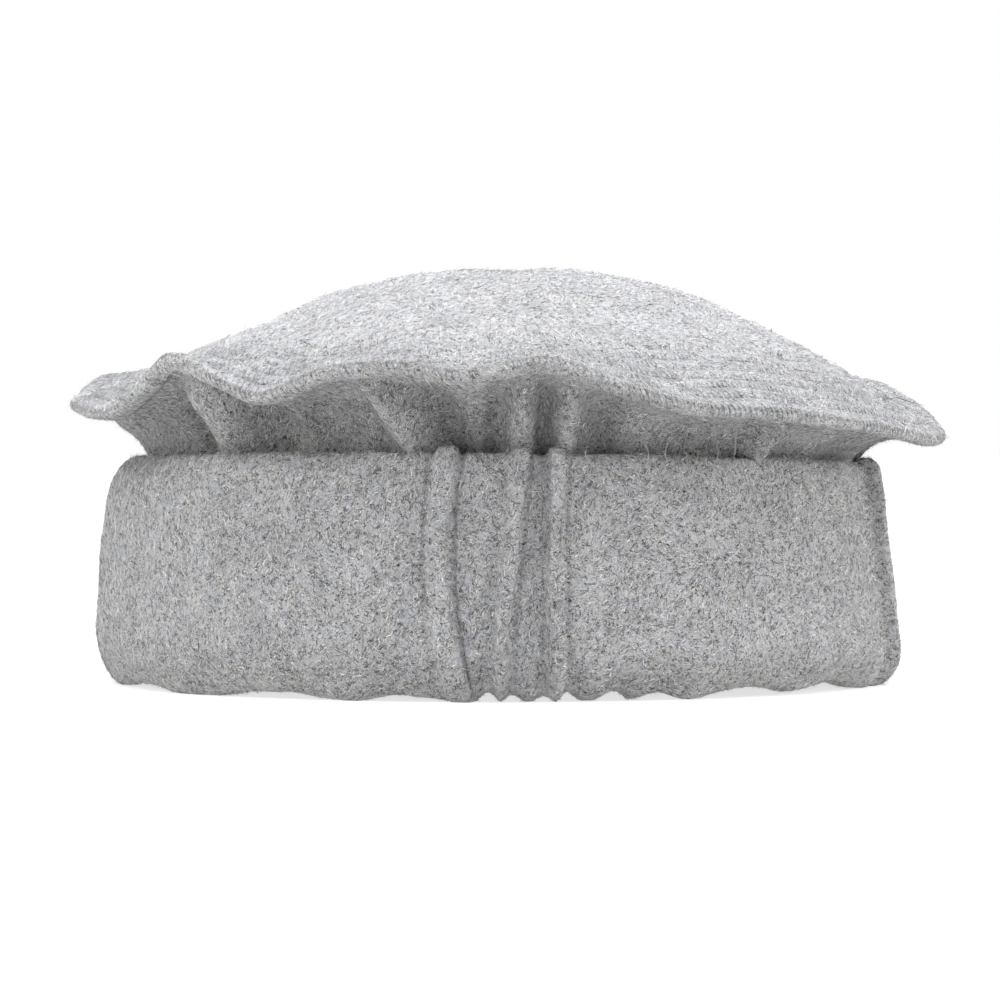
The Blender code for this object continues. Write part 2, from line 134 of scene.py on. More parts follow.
# Where the band's foot is lifted off the floor
Scallop = namedtuple("Scallop", "bearing half_width lift")
SCALLOPS = [Scallop(*row) for row in (
    (-66, 16, 1.9), (-36, 13, 1.9), (-15, 9, 1.6), (-2.9, 2.1, 2.2),
    (0.5, 1.8, 1.7), (4.9, 2.0, 1.5), (8.3, 2.3, 2.3), (15.2, 3.6, 2.6),
    (22, 5.5, 2.1), (38, 13, 2.8), (56, 15, 2.7), (106, 14, 1.6),
    (150, 18, 1.8), (207, 16, 1.6), (243, 14, 1.4),
)]

# Stitching through the round top and the tube, in rows round the rim at these insets
FIRST_ROW, ROW_STEP = 6.0, 5.0
STITCH_ROWS = FIRST_ROW + ROW_STEP * np.arange(6)
STITCH_PITCH, STITCH_LENGTH, STITCH_THICK = 3.1 * MM, 1.9 * MM, 0.36 * MM
STITCH_SUNK, STITCH_PROUD = 0.12 * MM, 0.06 * MM  # how far below and above its channel's floor a stitch lies
STITCH_ASTRAY, STITCH_JITTER, STITCH_ARCH = 0.12 * MM, 0.06, 0.12 * MM
CHANNEL_DEPTH, CHANNEL_WIDTH = 1.0 * MM, 1.4 * MM
STITCHED_FROM, STITCHED_NAP = 85 * MM, 0.4  # the nap is sparser beyond this radius, where the rows are

# Loose hairs: on which cloth, where, how long, the way it sets out and turns, how far its end stands up, and
# its shade from 0, dark, to 1, pale. place is the share of the way to the top's rim, or up the band
Hair = namedtuple("Hair", "cloth bearing place length angle bend stand shade")
HAIRS = [Hair(*row) for row in (
    ("top", -10.2, 0.432, 4.6, 20, 50, 0.6, 0.0),
    ("top", 38.0, 0.682, 3.6, -75, 15, 0.6, 0.0),
    ("top", 36.0, 0.730, 3.2, 62, 20, 0.7, 0.0),
    ("top", 88.5, 0.872, 8.0, -60, -60, 2.2, 0.05),
    ("top", -52.0, 0.905, 5.0, 120, 80, 1.4, 0.0),
    ("band", 5.8, 0.42, 9.2, 8, 18, 1.0, 0.0),
    ("band", -17.5, 0.97, 5.0, 50, 130, 2.0, 0.6),
    ("band", 19.5, 0.98, 7.0, 60, 110, 3.0, 0.6),
    ("band", 23.0, 1.0, 8.0, 130, -120, 3.2, 0.6),
    ("band", 26.5, 0.97, 5.5, 30, 100, 2.4, 0.6),
    ("band", 31.0, 1.0, 4.5, 70, 70, 2.0, 0.6),
    ("band", 34.4, 1.03, 7.6, 84, 6, 1.2, 0.7),
    ("band", -61.0, 0.55, 6.0, 150, 70, 1.6, 0.05),
    ("band", 52.0, 0.33, 6.5, 35, 110, 1.5, 0.0),
)]
HAIR_THICK, HAIR_LIFT, HAIR_RINGS, HAIR_TAPER = 0.17 * MM, 0.5 * MM, 18, 0.6
HAIR_SIDES, THREAD_SIDES = 5, 6

# A fine crease pressed into the dome near the front, from end to end
WRINKLE = np.array([[-6.7, -90.1], [1.5, -70.1]]) * MM
WRINKLE_DEPTH, WRINKLE_WIDTH = 0.4 * MM, 0.9 * MM

# Unevenness of hand-made felt: how high and how wide it is, and the seed of its waves
Lumps = namedtuple("Lumps", "height size seed")
DOME_LUMPS = Lumps(0.4 * MM, 26 * MM, 3)
FINER_LUMPS = Lumps(0.15 * MM, 9 * MM, 4)
UNDER_LUMPS = Lumps(0.35 * MM, 15 * MM, 5)
BAND_LUMPS = Lumps(0.3 * MM, 17 * MM, 7)
SMOOTH_RIM = 12 * MM  # the dome's lumps die away over this, next to the rim
LUMP_WAVES, SHORTEST, LONGEST = 14, 0.6, 1.7

# Rows of points over the round top: on the dome and the brim, round the nose of the rim, two behind it, and
# on the face below. The cloth values are lengths of cloth from the rim
DOME_ROWS, BRIM_ROWS, NOSE_ROWS, LOWER_ROWS = 34, 37, 15, 22
POLE_SHARE, LOWER_POLE_SHARE = 0.03, 0.05
BRIM_WIDTH, BRIM_START, BRIM_END = 36, 35.1 * MM, 2.6 * MM
NOSE_TURNS = (-75, 90)
NOSE_CLOTH_ABOVE, NOSE_CLOTH_BELOW = 1.6, 3.6
BEHIND_INSETS, BEHIND_DEPTHS = np.array([[0.2], [0.3]]), np.array([[0.85], [0.48]])
BEHIND_CLOTH, LOWER_START = (4.6, 5.6), 5.5

# Rows of points along each part of the tube's section, from the rim to the hem
SECTIONS = dict(edge=6, under=26, wall=8, foot=15, face=32, fold=14, behind=4, turn=6, hem=3)
ENDS = np.cumsum(list(SECTIONS.values()))
SPAN = {name: slice(end - count, end) for (name, count), end in zip(SECTIONS.items(), ENDS)}
EDGE_THIN = 0.12
# Where a face of the tube is hidden, one row in so many is kept, and all of the last few before it shows
UNDER_KEPT, BAND_KEPT, ALL_KEPT = 5, 4, 8

# Columns of points round the cap, closest at the tucks and the lapped seam: from, to and step, in degrees
COLUMNS = ((-180, -12, 0.72), (-12, 10, 0.16), (10, 72, 0.7), (72, 76, 0.25), (76, 180, 0.72))


def around(bearing, rows, column):
    """A smooth closed curve through a table's column: cubic from row to row, where the slope at a row is the
    harmonic mean of the slopes on its two sides, and level at a crest or a dip."""
    knots = np.array([row.bearing for row in rows], float)
    values = np.array([getattr(row, column) for row in rows], float)
    knots = np.concatenate([knots[-2:] - 360, knots, knots[:2] + 360])
    values = np.concatenate([values[-2:], values, values[:2]])
    slope = np.diff(values) / np.diff(knots)
    same_way = slope[1:] * slope[:-1] > 0
    total = np.where(same_way, slope[1:] + slope[:-1], 1)
    tangent = np.where(same_way, 2 * slope[1:] * slope[:-1] / total, 0)
    tangent = np.concatenate([[0], tangent, [0]])
    at = (bearing - knots[1]) % 360 + knots[1]
    i = np.clip(np.searchsorted(knots, at, "right") - 1, 0, len(knots) - 2)
    span = knots[i + 1] - knots[i]
    u = (at - knots[i]) / span
    start = values[i] * (1 + 2 * u) * (1 - u) ** 2 + tangent[i] * span * u * (1 - u) ** 2
    end = values[i + 1] * (3 - 2 * u) * u**2 - tangent[i + 1] * span * (1 - u) * u**2
    return start + end


def smooth(x):
    """0 up to 0, 1 from 1, and a cubic between."""
    x = np.clip(x, 0, 1)
    return x * x * (3 - 2 * x)


def swell(x):
    """A round bump, a squared cosine: 1 at 0, and 0 beyond 1 on both sides."""
    return np.cos(np.pi / 2 * np.clip(x, -1, 1)) ** 2


def turn(bearing, middle):
    """Degrees from middle to bearing, the short way round."""
    return (bearing - middle + 180) % 360 - 180


def unit(vectors):
    """Each vector over its own length."""
    return vectors / np.maximum(np.linalg.norm(vectors, axis=-1, keepdims=True), 1e-12)


def placed(radius, height, bearing):
    """Points in space, for arrays of radius, height and bearing."""
    a = np.radians(bearing)
    return np.stack([radius * np.sin(a), -radius * np.cos(a), height + 0 * a], axis=-1)


def lumps(points, size, seed):
    """Soft unevenness, from about -1 to 1: a sum of sine waves in random directions, of lengths near size."""
    rng = np.random.default_rng(seed)
    directions = unit(rng.normal(size=(LUMP_WAVES, 3)))
    ways = directions * 2 * np.pi / (size * rng.uniform(SHORTEST, LONGEST, (LUMP_WAVES, 1)))
    return np.sin(points @ ways.T + rng.uniform(0, 2 * np.pi, LUMP_WAVES)).sum(axis=-1) / 4


def uneven(points, kind):
    """How far the lumps of one kind stand out."""
    return kind.height * lumps(points, kind.size, kind.seed)


def reach_of(bearing):
    """How far the rim reaches from the middle."""
    return around(bearing, RIM, "reach") * MM


def crown_section(share, bearing):
    """Reach and height of the round top's upper face, at a share of the way to its rim. It is nearly level
    over the middle, falls most steeply halfway out, flattens into the brim, and carries the rim's waves."""
    a = np.radians(bearing)
    level = RIM_LEVEL + RIM_LEVEL_FRONT * np.cos(a) - RIM_LEVEL_LEFT * np.sin(a)
    spread = FALL_SPREAD + FALL_SPREAD_LEFT * np.sin(a)
    wave = around(bearing, RIM, "height") * MM + FELT / 2 - level
    fall = 1 - share**FALL_POWER * (1 + spread) / (share**FALL_POWER + spread)
    return share * reach_of(bearing), level + (CROWN_HEIGHT - level) * fall + wave * share**WAVE_FADE


def crown_slope(share, bearing):
    """Unit step outwards along the round top's section."""
    step = 0.002
    r, z = crown_section(share, bearing)
    r_in, z_in = crown_section(share - step, bearing)
    length = np.hypot(r - r_in, z - z_in)
    return (r - r_in) / length, (z - z_in) / length


def below_crown(share, bearing, depth):
    """Reach and height of a face this deep below the round top's upper face, square to it."""
    r, z = crown_section(share, bearing)
    out, up = crown_slope(share, bearing)
    return r + up * depth, z - out * depth


def in_crown(share, bearing, depth):
    """Points in space this deep below the round top's upper face."""
    return placed(*below_crown(share, bearing, depth), bearing)


def ceiling(radius, bearing, depth):
    """The height at this depth below the round top, over a point at this radius."""
    share = radius / reach_of(bearing)
    return crown_section(share, bearing)[1] - depth / crown_slope(share, bearing)[0]


def gather_lift(bearing, way):
    """How far the tube stands out from its plain shape. way is 0 at the rim and 1 at the neck."""
    lift = 0
    for g in GATHERS:
        lift = lift + g.lift * swell(turn(bearing, g.bearing + g.lean * (1 - way)) / g.half_width)
    fading = GATHER_FULLEST - (GATHER_FULLEST - GATHER_NECK) * smooth((way - GATHER_FULL) / (1 - GATHER_FULL))
    return lift * smooth(way / GATHER_FULL) * fading * MM


def tuck_line(tuck, height):
    """The bearing of a tuck's sharp edge: a parabola through its top, middle and foot."""
    v = np.clip(height / BAND_HEIGHT, 0, 1)
    return tuck.foot * (1 - v) * (1 - 2 * v) + tuck.middle * 4 * v * (1 - v) + tuck.top * v * (2 * v - 1)


def lean_with_tucks(bearing, height):
    """Slides a column of points sideways, so that it follows the tucks beside it."""
    knots = [TUCKS[0].middle - SLIDE_OVER] + [t.middle for t in TUCKS] + [TUCKS[-1].middle + SLIDE_OVER]
    slides = [tuck_line(t, height) - t.middle for t in TUCKS]
    near = turn(bearing, 0)
    return bearing + sum(
        slide * np.clip(1 - np.abs(near - k) / np.where(near < k, k - low, high - k), 0, 1)
        for low, k, high, slide in zip(knots, knots[1:], knots[2:], slides)
    )


def tuck_height(bearing):
    """How proud the band's face is, at a column of points that follows the tucks: each tuck is a flat with a
    side and a crease on its left and right, and the lapped seam steps up after a crease and dies away."""
    proud = 0
    for tuck in TUCKS:
        x = np.radians(turn(bearing, tuck.middle)) * BAND_FOOT_RADIUS
        rise = smooth((x / MM + tuck.width) / tuck.left) * (1 - smooth(x / MM / tuck.right))
        left = tuck.left_crease * swell((x / MM + tuck.width + CREASE_WIDTH / 2) / CREASE_WIDTH)
        right = tuck.right_crease * swell((x / MM - tuck.right - CREASE_WIDTH / 2) / CREASE_WIDTH)
        proud = proud + (tuck.proud * rise - left - right) * MM
    x = np.radians(turn(bearing, SEAM)) * BAND_FOOT_RADIUS
    proud = proud - SEAM_CREASE * swell((x + SEAM_CREASE_WIDTH / 2) / SEAM_CREASE_WIDTH)
    return proud + SEAM_PROUD * smooth(x / SEAM_STEP) * (1 - smooth(x / SEAM_WIDTH))


def foot_lift(bearing):
    """How far the band's foot is off the floor: the highest of the scallops' bumps."""
    lift = 0
    for s in SCALLOPS:
        lift = np.maximum(lift, s.lift * swell(turn(bearing, s.bearing) / s.half_width))
    return lift * MM


def band_top(bearing):
    """The height of the band's top, a ring that is tilted up towards the front and the right."""
    a = np.radians(bearing)
    return BAND_HEIGHT + BAND_TOP_FRONT * np.cos(a) - BAND_TOP_LEFT * np.sin(a)


def fold_of(bearing):
    """The fold along the band's top: its depth, how much lower its inside ends, and the height of its outer
    end."""
    side = np.sin(np.radians(bearing))
    depth = FOLD_DEPTH + FOLD_DEPTH_SIDE * side
    sag = FOLD_SAG - FOLD_SAG_LOST * np.maximum(-side, 0) ** 2
    return depth, sag, band_top(bearing) - FELT / 2 + sag / 2 - np.hypot(depth, sag / 2)


def face_radius(bearing, height):
    """The band's outer face, which leans in as it rises and is a little off centre."""
    side = np.sin(np.radians(bearing))
    lean = BAND_LEAN + BAND_LEAN_SIDE * side
    return BAND_FOOT_RADIUS + BAND_SHIFT * side - lean * np.maximum(height - FOOT_CORNER, 0)


def wall_radius(bearing, height):
    """The middle of the inner wall's cloth. Below the neck it follows the band off centre."""
    below = smooth((BAND_HEIGHT - height) / WALL_FOLLOWS_OVER)
    return NECK_RADIUS + FELT / 2 + WALL_FOLLOWS * BAND_SHIFT * np.sin(np.radians(bearing)) * below


def ways(name, before=0, after=0):
    """The shares of the way along one part of the tube's section, for its rows of points. before and after
    are 1 where the part starts or ends at a row of its neighbour."""
    count = SECTIONS[name]
    return (np.arange(count)[:, None] + before) / (count - 1 + before + after)


def turned(start, end, level, depth, share, sag=0):
    """Half an oval from radius start to radius end, which leaves start at level, reaches depth beyond it, and
    meets end lower by sag. share goes from 0 at start to 1 at end."""
    across = (1 - np.cos(np.pi * share)) / 2
    return start + (end - start) * across, level + depth * np.sin(np.pi * share) - sag * across


def under_rim(bearing, way):
    """The tube from the rim, at way 0, to the neck, at way 1: a curve that leaves level and ends upright,
    with the gathers standing out of it and the round top above it."""
    inset = TUBE_EDGE + EDGE_ROUND
    start = np.array(below_crown(1 - inset / reach_of(bearing), bearing, SEWN_DEPTH))
    _, sag, top_level = fold_of(bearing)
    neck_z = top_level - sag
    neck = np.array([wall_radius(bearing, neck_z), neck_z])
    level = np.array([start[0] - LEVEL_REACH, start[1]])
    upright = np.array([neck[0], neck[1] + UPRIGHT_REACH + UPRIGHT_SHARE * (start[1] - neck[1])])
    back = 1 - way
    plain = start * back**3 + 3 * level * back**2 * way + 3 * upright * back * way**2 + neck * way**3
    lift = gather_lift(bearing, way)
    radius = plain[0] + LIFT_OUT * lift
    return radius, np.minimum(plain[1] - LIFT_DOWN * lift, ceiling(radius, bearing, CLEAR_DEPTH))


def tube_path(bearing):
    """The middle of the tube's cloth as radius and height, for a grid of bearings with a row for each row of
    points: in from the rim, down the inner wall, round the foot, up the face, over the top, down behind the
    face, and up again to the hem."""
    on = {name: bearing[span] for name, span in SPAN.items()}
    middle = MID_HEIGHT * BAND_HEIGHT
    parts = []

    around_edge = ways("edge") * np.pi / 2
    inset = TUBE_EDGE + EDGE_ROUND * (1 - np.cos(around_edge))
    depth = FELT + SEAM_GAP + FELT / 2 * np.sin(around_edge)
    parts.append(below_crown(1 - inset / reach_of(on["edge"]), on["edge"], depth))
    parts.append(under_rim(on["under"], ways("under", before=1)))

    def foot_of(b):
        deep = FOOT_CORNER + FOOT_CORNER_SIDE * np.sin(np.radians(b))
        return deep, FELT / 2 + deep + foot_lift(b)

    def neck_of(b):
        radius, height = under_rim(b, 1.0)
        return radius - wall_radius(b, height), height

    b = on["wall"]
    spare, top = neck_of(b)
    low = foot_of(b)[1]
    height = top + (low - top) * ways("wall", before=1, after=1)
    fading = np.clip((height - middle) / (top - middle), 0, 1)
    parts.append((wall_radius(b, height) + spare * fading, height))

    b = on["foot"]
    deep, low = foot_of(b)
    parts.append(turned(wall_radius(b, low), face_radius(b, low) - FELT / 2, low, -deep, ways("foot")))

    b = on["face"]
    low = foot_of(b)[1]
    top = fold_of(b)[2]
    height = low + (top - low) * ways("face", before=1, after=1)
    parts.append((face_radius(b, height) - FELT / 2, height))

    b = on["fold"]
    depth, sag, top = fold_of(b)
    behind = wall_radius(b, top - sag) + SPACING + LIFT_OUT * gather_lift(b, 1.0)
    parts.append(turned(face_radius(b, top) - FELT / 2, behind, top, depth, ways("fold"), sag))

    b = on["behind"]
    _, sag, top = fold_of(b)
    top = top - sag
    low = foot_of(b)[1]
    height = top + (low - top) * ways("behind", before=1, after=1)
    fading = np.clip((height - middle) / (top - middle), 0, 1)
    parts.append((wall_radius(b, height) + SPACING + LIFT_OUT * gather_lift(b, 1.0) * fading, height))

    b = on["turn"]
    deep, low = foot_of(b)
    start, end = wall_radius(b, low) + SPACING, face_radius(b, low) - FELT / 2 - SPACING
    parts.append(turned(start, end, low, INNER_FOLD_SPARE + SPACING - deep, ways("turn")))

    b = on["hem"]
    low = foot_of(b)[1]
    height = low + (middle - low) * ways("hem", before=1)
    parts.append((face_radius(b, height) - FELT / 2 - SPACING, height))
    return np.concatenate([np.stack(np.broadcast_arrays(*part), axis=1) for part in parts])


def tube_faces(nominal):
    """The two faces of the tube's cloth, and the bearing of each point: the face that shows under the rim,
    and the one that shows on the band, with the tucks standing out and the foot pressed on the floor."""
    heights = tube_path(np.tile(nominal, (ENDS[-1], 1)))[:, 1]
    bearing = lean_with_tucks(nominal, heights)
    path = tube_path(bearing)
    along = np.gradient(path, axis=0)
    along /= np.linalg.norm(along, axis=1, keepdims=True)
    square = np.stack([-along[:, 1], along[:, 0]], axis=1)

    thick = np.ones(len(path))
    thick[SPAN["edge"]] = np.maximum(np.sin(ways("edge")[:, 0] * np.pi / 2), EDGE_THIN)
    half = thick[:, None, None] * square * FELT / 2
    under, banded = path + half, path - half

    share = np.zeros(len(path))
    share[SPAN["face"]] = 1
    share[SPAN["foot"]] = smooth((ways("foot")[:, 0] - TUCKS_RISE[0]) / TUCKS_RISE[1])
    share[SPAN["fold"]] = 1 - smooth((ways("fold")[:, 0] - TUCKS_FADE[0]) / TUCKS_FADE[1])
    banded = banded - square * share[:, None, None] * tuck_height(nominal)

    foot = SPAN["foot"]
    lift = foot_lift(bearing[foot])
    above = banded[foot, 1] - lift
    give = FOOT_PRESSED_BELOW / (FOOT_PRESSED_BELOW - FOOT_PRESSED)
    pressed = np.where(above < FOOT_PRESSED_BELOW, np.maximum(above - FOOT_PRESSED, 0) * give, above)
    banded[foot, 1] = lift + pressed
    return placed(under[:, 0], under[:, 1], bearing), placed(banded[:, 0], banded[:, 1], bearing), bearing


def columns():
    """Bearings of the columns of points, all the way round."""
    return np.concatenate([np.arange(low, high - step / 3, step) for low, high, step in COLUMNS])


def normals_of(grid):
    """Unit normals of a grid of points whose columns close round the cap, outwards for rows that run outwards
    over the top."""
    down = np.gradient(grid, axis=0)
    along = np.roll(grid, -1, axis=1) - np.roll(grid, 1, axis=1)
    return unit(np.cross(down, along))


def mesh_piece(name, points, faces, cloth=None):
    """A piece from points and arrays of faces, one array for each number of corners. cloth gives each
    corner's place on the flat cloth, in millimetres."""
    mesh = bpy.data.meshes.new(name)
    corners = np.concatenate([f.ravel() for f in faces]).astype(np.int32)
    sizes = np.concatenate([np.full(len(f), f.shape[1]) for f in faces])
    mesh.vertices.add(len(points))
    mesh.vertices.foreach_set("co", points.astype(np.float32).ravel())
    mesh.loops.add(len(corners))
    mesh.loops.foreach_set("vertex_index", corners)
    mesh.polygons.add(len(sizes))
    mesh.polygons.foreach_set("loop_start", (np.cumsum(sizes) - sizes).astype(np.int32))
    mesh.update(calc_edges=True)
    mesh.shade_smooth()
    if cloth is not None:
        layer = mesh.uv_layers.new(name="cloth")
        layer.uv.foreach_set("vector", cloth.astype(np.float32).ravel())
    piece = bpy.data.objects.new(name, mesh)
    bpy.context.collection.objects.link(piece)
    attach(piece, "root")
    return piece


def skinned(name, rings, bearing, inset, poles=None):
    """A closed skin over rings of points. Poles close its two ends, and without them the last ring is joined
    to the first. inset is each ring's place down the flat cloth, in millimetres."""
    count, across = rings.shape[:2]
    rows = count if poles is None else count - 1
    row, col = np.indices((rows, across)).reshape(2, -1, 1)
    corner_rows, corner_cols = row + [0, 0, 1, 1], col + [1, 0, 0, 1]
    faces = [corner_rows % count * across + corner_cols % across]
    points = rings.reshape(-1, 3)
    lengthwise = np.append(inset, inset[-1])
    crosswise = np.append(bearing, bearing[0] + 360) * (2 * np.pi * USUAL_REACH / 360)
    cloth = [np.stack([crosswise[corner_cols], lengthwise[corner_rows]], axis=-1).reshape(-1, 2)]
    if poles is not None:
        first, last = count * across, (count - 1) * across
        j, k = np.arange(across), (np.arange(across) + 1) % across
        top = np.stack([j, k, np.full(across, first)], axis=-1)
        bottom = np.stack([last + k, last + j, np.full(across, first + 1)], axis=-1)
        faces += [top, bottom]
        points = np.concatenate([points, poles])
        for ring in (0, count - 1):
            ends = np.stack([crosswise[:-1], crosswise[1:], crosswise[:-1]], axis=-1)
            cloth.append(np.stack([ends, np.full_like(ends, inset[ring])], axis=-1).reshape(-1, 2))
    return mesh_piece(name, points, faces, np.concatenate(cloth))


def channels(inset):
    """How deep the rows of stitching draw the cloth in."""
    deep = 0
    for row in STITCH_ROWS:
        deep = deep + swell((inset - row * MM) / CHANNEL_WIDTH)
    return CHANNEL_DEPTH * deep


def wrinkle(points):
    """How deep the crease in the dome is."""
    start, way = WRINKLE[0], WRINKLE[1] - WRINKLE[0]
    share = np.clip((points[..., :2] - start) @ way / (way @ way), 0, 1)
    apart = np.linalg.norm(points[..., :2] - start - share[..., None] * way, axis=-1)
    return WRINKLE_DEPTH * swell(apart / WRINKLE_WIDTH)


def round_top():
    """The round top: its upper face out to the rim, the nose of the rim, and its lower face back to the
    middle."""
    bearing = columns()
    reach = reach_of(bearing)
    inner = np.linspace(POLE_SHARE, 1, DOME_ROWS)[:, None] * (1 - BRIM_WIDTH / USUAL_REACH)
    outer = 1 - np.linspace(BRIM_START, BRIM_END, BRIM_ROWS)[:, None] / reach
    shares = np.concatenate([inner + 0 * reach, outer])
    upper = crown_section(shares, bearing)
    turn_over = np.radians(np.linspace(*NOSE_TURNS, NOSE_ROWS))[:, None]
    above = turn_over < 0
    rim_inset = np.where(above, NOSE_ABOVE, NOSE_BELOW) * (1 - np.cos(turn_over))
    rim_depth = NOSE_DEPTH + np.where(above, NOSE_DEPTH, SEWN_THICK - NOSE_DEPTH) * np.sin(turn_over)
    rim = in_crown(1 - rim_inset / reach, bearing, rim_depth)
    skin = np.concatenate([placed(*upper, bearing), rim])
    nose_inset = np.where(above, NOSE_CLOTH_ABOVE, NOSE_CLOTH_BELOW) * MM * -np.sin(turn_over)
    inset = np.concatenate([(1 - shares) * reach, nose_inset + 0 * reach])
    lumpy = uneven(skin, DOME_LUMPS) * smooth(inset / SMOOTH_RIM) + uneven(skin, FINER_LUMPS)
    skin = skin + normals_of(skin) * (lumpy - channels(inset) - wrinkle(skin))[..., None]

    behind_inset = NOSE_BELOW + BEHIND_INSETS * MM
    behind = in_crown(1 - behind_inset / reach, bearing, BEHIND_DEPTHS * SEWN_THICK)
    lower_start = 1 - LOWER_START / USUAL_REACH
    lower_shares = np.linspace(lower_start, LOWER_POLE_SHARE, LOWER_ROWS)[:, None] + 0 * reach
    rings = np.concatenate([skin, behind, in_crown(lower_shares, bearing, FELT)])
    poles = np.array([(0, 0, CROWN_HEIGHT), (0, 0, CROWN_HEIGHT - FELT)])
    under_inset = np.concatenate([BEHIND_CLOTH, BEHIND_CLOTH[1] + USUAL_REACH * (1 - lower_shares[:, 0])])
    inset = np.concatenate([inset.mean(axis=1) / MM, -under_inset])
    piece = skinned("round_top_felt", rings, bearing, inset, poles)
    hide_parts("round_top")
    return piece, skin


def rolled_side():
    """The tube: one face of its cloth from the rim to the hem, then the other one back."""
    nominal = columns()
    under, banded, bearing = tube_faces(nominal)
    shown = slice(SPAN["under"].start, SPAN["under"].stop)
    rise = (uneven(under[shown], UNDER_LUMPS) * swell(ways("under", before=1) * 2 - 1))[..., None]
    under[shown] += normals_of(under[shown]) * rise
    shown = slice(SPAN["foot"].start, SPAN["fold"].stop)
    rows = shown.stop - shown.start
    fading = swell(np.linspace(-1, 1, rows) ** 5)[:, None]
    lumpy = uneven(banded[shown], BAND_LUMPS) * fading
    banded[shown] += -normals_of(banded[shown]) * lumpy[..., None]
    banded[..., 2] = np.maximum(banded[..., 2], 0)

    neck, hem = SPAN["under"].stop, ENDS[-1] - 1
    kept_under = np.r_[:neck, neck:hem:UNDER_KEPT, hem]
    kept_banded = np.r_[: neck - ALL_KEPT : BAND_KEPT, neck - ALL_KEPT : hem + 1][::-1]
    rings = np.concatenate([under[kept_under], banded[kept_banded]])
    step = np.linalg.norm(np.diff(under[:, 0], axis=0), axis=-1)
    down = np.concatenate([[0], np.cumsum(step)]) / MM
    inset = np.concatenate([down[kept_under], down[kept_banded]])
    piece = skinned("rolled_side_felt", rings, nominal, inset)
    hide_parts("rolled_side")
    return piece, under, banded


# Shader nodes


class Field:
    """A number that changes over a surface. Python's operators add the Math nodes that work it out."""

    def __init__(self, finish, socket):
        self.finish = finish
        self.socket = socket

    def math(self, operation, *values):
        node = self.finish.add("ShaderNodeMath", {"operation": operation}, dict(enumerate(values)))
        return Field(self.finish, node.outputs[0])

    def __add__(self, other):
        return self.math("ADD", self, other)

    __radd__ = __add__

    def __sub__(self, other):
        return self.math("SUBTRACT", self, other)

    def __rsub__(self, other):
        return self.math("SUBTRACT", other, self)

    def __mul__(self, other):
        return self.math("MULTIPLY", self, other)

    __rmul__ = __mul__

    def __abs__(self):
        return self.math("ABSOLUTE", self)

    def sine(self):
        return self.math("SINE", self)

    def rise(self, low, high):
        """0 up to low, 1 from high, and smooth between."""
        values = {"Value": self, "From Min": low, "From Max": high}
        node = self.finish.add("ShaderNodeMapRange", {"interpolation_type": "SMOOTHSTEP"}, values)
        return Field(self.finish, node.outputs["Result"])


class Finish:
    """One procedural material, its Principled shader and a maker of the nodes behind it."""

    def __init__(self, name, roughness, sheen):
        self.material = bpy.data.materials.new(name)
        self.material.use_nodes = True
        self.tree = self.material.node_tree
        self.shader = self.tree.nodes["Principled BSDF"]
        self.feed(self.shader, {"Roughness": roughness, "Specular IOR Level": 0.15})
        self.feed(self.shader, {"Sheen Weight": sheen, "Sheen Roughness": 0.45})

    def add(self, kind, settings=None, values=None):
        node = self.tree.nodes.new(kind)
        for name, value in (settings or {}).items():
            setattr(node, name, value)
        self.feed(node, values or {})
        return node

    def feed(self, node, values):
        """Links fields and sockets to a node's inputs, and sets numbers and colours on them."""
        for name, value in values.items():
            value = getattr(value, "socket", value)
            if isinstance(value, bpy.types.NodeSocket):
                self.tree.links.new(value, node.inputs[name])
            else:
                node.inputs[name].default_value = value

    def place(self):
        return self.add("ShaderNodeTexCoord").outputs["Object"]

    def noise(self, place, size, detail=2.0, roughness=0.5, distortion=0.0):
        """Smooth noise from 0 to 1, about 0.5, with features of this size in millimetres."""
        values = {"Vector": place, "Scale": 1 / (size * MM), "Detail": detail}
        values |= {"Roughness": roughness, "Distortion": distortion}
        return Field(self, self.add("ShaderNodeTexNoise", None, values).outputs["Fac"])

    def tint(self, place):
        """How warm the wool is from place to place, from 0 to 1: each tuft comes from other fleece."""
        return self.noise(place, TUFTS, 3.0, 0.6, 0.3).rise(0.36, 0.64)

    def strands(self, place, kind):
        """Thin curled lines, where noise passes its middle value, broken up by coarser noise."""
        line = abs(self.noise(place, kind.size, 1.0, 0.4, 0.9) - 0.5).rise(kind.width * 0.25, kind.width)
        broken = self.noise(place, kind.length, 1.0, 0.5, 0.2).rise(kind.none_below, kind.all_above)
        return (1 - line) * broken

    def mixed(self, share, low, high):
        """A colour between two, by a field from 0 to 1."""
        settings = {"data_type": "RGBA", "clamp_factor": True}
        node = self.add("ShaderNodeMix", settings, {0: share, 6: low, 7: high})
        return node.outputs[2]

    def tinted(self, tint, level):
        """A grey of this linear value, from cool to warm by the tint."""
        return self.mixed(tint, grey(level, COOL), grey(level, WARM))

    def bump(self, height, distance, strength=1.0):
        values = {"Height": height, "Distance": distance, "Strength": strength}
        self.feed(self.shader, {"Normal": self.add("ShaderNodeBump", None, values).outputs[0]})


def grey(level, warmth=0.0):
    """A grey of this linear value, redder with warmth."""
    return (level * (1 + warmth), level * (1 + 0.3 * warmth), level * (1 - warmth), 1)


# The wool's finish. Sizes of its mottling in millimetres, and its warmth from tuft to tuft
BROAD, TUFTS, PATCHES, GRAIN = 13, 3.2, 2.4, 0.4
COOL, WARM = -0.008, 0.038
# The round top's tone is lighter than the side's: partly the wool's own tone, partly painted light for the
# light that falls on the top from above
TOP_TONE_WITH_PAINTED_LIGHT, SIDE_TONE, GRAIN_CONTRAST = 0.51, 0.378, 1.3
